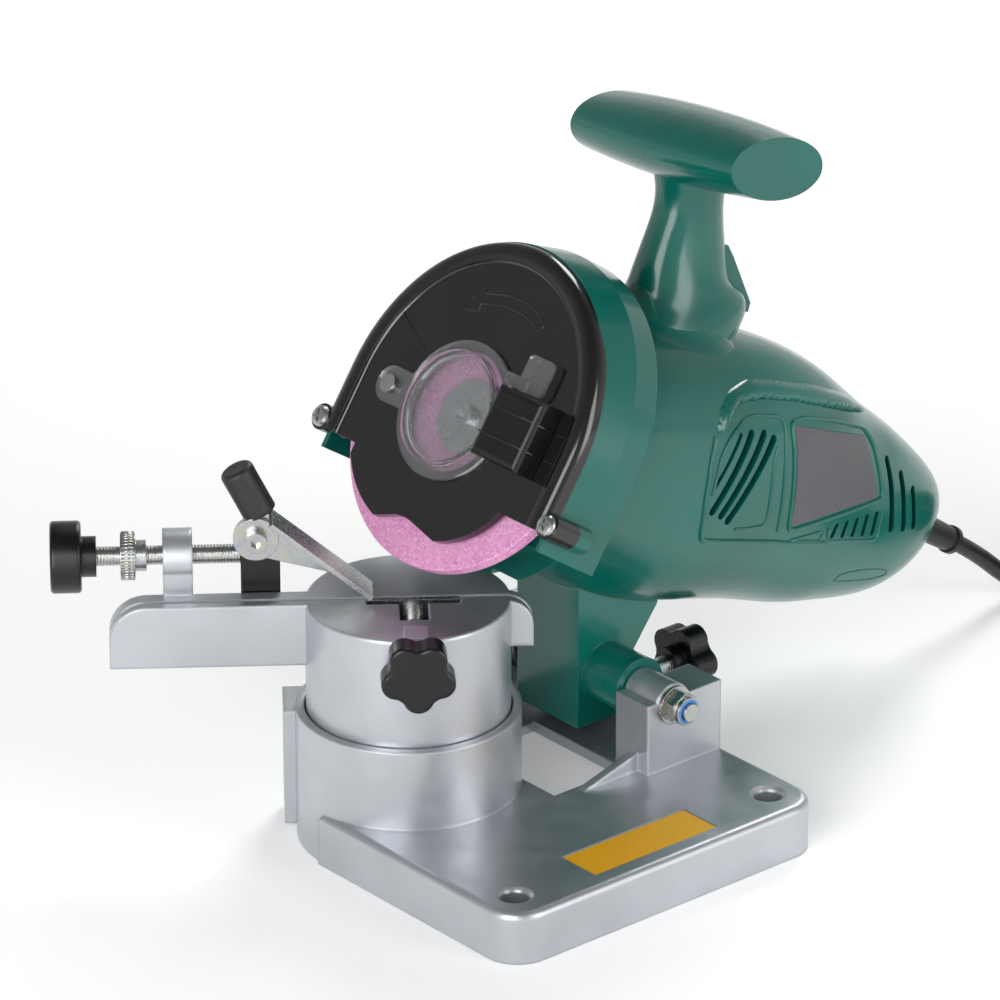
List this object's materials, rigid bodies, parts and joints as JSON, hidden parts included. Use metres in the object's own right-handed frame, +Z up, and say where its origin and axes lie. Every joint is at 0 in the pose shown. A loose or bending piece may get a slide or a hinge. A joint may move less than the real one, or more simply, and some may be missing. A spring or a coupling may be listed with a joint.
{
  "type": "electric chainsaw sharpener",
  "caption": "Bench-mounted electric sharpener for saw chains: a guarded tilted grinding wheel on a swing-down motor head over a swivelling chain vise.",
  "frame": {"origin": "middle between the two bench bolt holes, on the bench's surface", "axes": "+Z up; +X along the line of the bolt holes, from the grinding wheel to the motor's tail; +Y from the bolt holes to the vise"},
  "size_m": [0.4519, 0.1816, 0.219],
  "materials": {
    "cast_aluminium": "silver lacquered sand-textured casting",
    "green_housing": "dark green gloss ABS",
    "black_gloss": "black gloss ABS",
    "black_plastic": "black satin phenolic",
    "zinc_steel": "bright zinc plate",
    "bright_steel": "ground steel",
    "lamination": "stacked electrical steel",
    "copper": "copper segments",
    "carbon": "pressed carbon",
    "abrasive": "pink vitrified abrasive",
    "clear_window": "clear polycarbonate",
    "grip_rubber": "black soft grip",
    "label_film": "plain yellow film",
    "plate_film": "plain dark grey film",
    "cord_rubber": "black flexible sheath",
    "bronze": "sintered bronze",
    "spring_steel": "oiled spring wire"
  },
  "bodies": {
    "base": {"base_casting": "cast_aluminium", "blank_label": "label_film", "pivot_bolt": "zinc_steel", "pivot_washers": "zinc_steel", "pivot_nut": "zinc_steel", "depth_lock_nut": "zinc_steel", "vise_lock_washer": "zinc_steel", "head_return_spring": "spring_steel", "mains_cord": "cord_rubber", "cord_coil": "cord_rubber", "plug_body": "cord_rubber", "plug_pins": "bright_steel"},
    "head": {"wheel_hood": "green_housing", "guard_cover": "black_gloss", "cover_screws": "zinc_steel", "window_pin": "zinc_steel", "front_bearing": "bright_steel", "rear_bearing": "bright_steel", "stator": "lamination", "brush_holders": "copper", "carbon_brushes": "carbon", "rating_plate": "plate_film", "housing_screws": "zinc_steel", "housing_near_half": "green_housing", "housing_far_half": "green_housing", "pivot_leg": "green_housing", "pivot_bushes": "bronze", "trigger_pin": "zinc_steel", "switch_module": "black_plastic", "cord_boot": "cord_rubber"},
    "wheel": {"grinding_wheel": "abrasive", "rear_flange": "bright_steel", "front_flange": "bright_steel", "hub_screw": "zinc_steel", "motor_shaft": "bright_steel", "armature": "lamination", "commutator": "copper", "cooling_fan": "black_plastic"},
    "vise": {"vise_drum": "cast_aluminium", "vise_stud": "zinc_steel"},
    "lock_knob": {"vise_lock_knob": "black_plastic"},
    "clamp_jaw": {"clamp_jaw": "zinc_steel"},
    "clamp_screw": {"clamp_screw": "zinc_steel", "clamp_knob": "black_plastic"},
    "stop_carriage": {"stop_carriage": "black_plastic", "pawl_screw": "zinc_steel"},
    "stop_screw": {"stop_screw": "zinc_steel", "stop_knob": "black_plastic", "stop_lock_nut": "zinc_steel"},
    "pawl": {"pawl_flap": "zinc_steel", "pawl_grip": "grip_rubber"},
    "trigger": {"trigger": "green_housing"},
    "window": {"inspection_window": "clear_window"},
    "latch": {"window_latch": "black_plastic"},
    "depth_screw": {"depth_screw": "zinc_steel", "depth_knob": "black_plastic"}
  },
  "joints": [
    {"name": "head_swing", "type": "hinge", "parent": "base", "child": "head", "pos_m": [0.0425, 0.0815, 0.04], "axis": [0, -1, 0], "range_deg": [0, 5], "stiffness_Nm_per_rad": 1.5, "springref_deg": -17.19},
    {"name": "wheel_spin", "type": "hinge", "parent": "head", "child": "wheel", "pos_m": [0.00046, 0.0815, 0.13495], "axis": [-0.829, 0, 0.5592], "continuous": true},
    {"name": "vise_turn", "type": "hinge", "parent": "base", "child": "vise", "pos_m": [-0.0275, 0.0815, 0.04], "axis": [0, 0, 1], "range_deg": [-3, 78]},
    {"name": "vise_lock_turn", "type": "hinge", "parent": "vise", "child": "lock_knob", "pos_m": [-0.0275, 0.0815, 0.005], "axis": [0, 0, 1], "range_deg": [-180, 180]},
    {"name": "clamp_slide", "type": "slide", "parent": "vise", "child": "clamp_jaw", "axis": [-0.6088, -0.7934, 0], "range_m": [0, 0.002]},
    {"name": "clamp_turn", "type": "hinge", "parent": "clamp_jaw", "child": "clamp_screw", "pos_m": [-0.04457, 0.05679, 0.0747], "axis": [-0.6088, -0.7934, 0], "range_deg": [0, 726]},
    {"name": "stop_slide", "type": "slide", "parent": "vise", "child": "stop_carriage", "axis": [0.7934, -0.6088, 0], "range_m": [-0.012, 0.003]},
    {"name": "stop_turn", "type": "hinge", "parent": "stop_carriage", "child": "stop_screw", "pos_m": [-0.0916, 0.14581, 0.093], "axis": [0.7934, -0.6088, 0], "range_deg": [-4350, 1095]},
    {"name": "pawl_flip", "type": "hinge", "parent": "stop_carriage", "child": "pawl", "pos_m": [-0.06161, 0.11524, 0.1015], "axis": [-0.6088, -0.7934, 0], "range_deg": [0, 60]},
    {"name": "trigger_press", "type": "hinge", "parent": "head", "child": "trigger", "pos_m": [0.1039, 0.0815, 0.1485], "axis": [0, -1, 0], "range_deg": [0, 6], "stiffness_Nm_per_rad": 0.3, "springref_deg": -2.86},
    {"name": "window_swing", "type": "hinge", "parent": "head", "child": "window", "pos_m": [-0.00673, 0.1137, 0.1386], "axis": [-0.829, 0, 0.5592], "range_deg": [0, 40]},
    {"name": "latch_pull", "type": "slide", "parent": "head", "child": "latch", "axis": [0, -1, 0], "range_m": [0, 0.003], "stiffness_N_per_m": 300, "springref_m": -0.002},
    {"name": "depth_turn", "type": "hinge", "parent": "base", "child": "depth_screw", "pos_m": [0.0625, 0.0815, 0.024], "axis": [1, 0, 0], "range_deg": [-360, 360]}
  ],
  "couplings": [
    {"joint": "clamp_turn", "follows": "clamp_slide", "rad_per_m": 6283.2},
    {"joint": "stop_turn", "follows": "stop_slide", "rad_per_m": 6283.2}
  ]
}
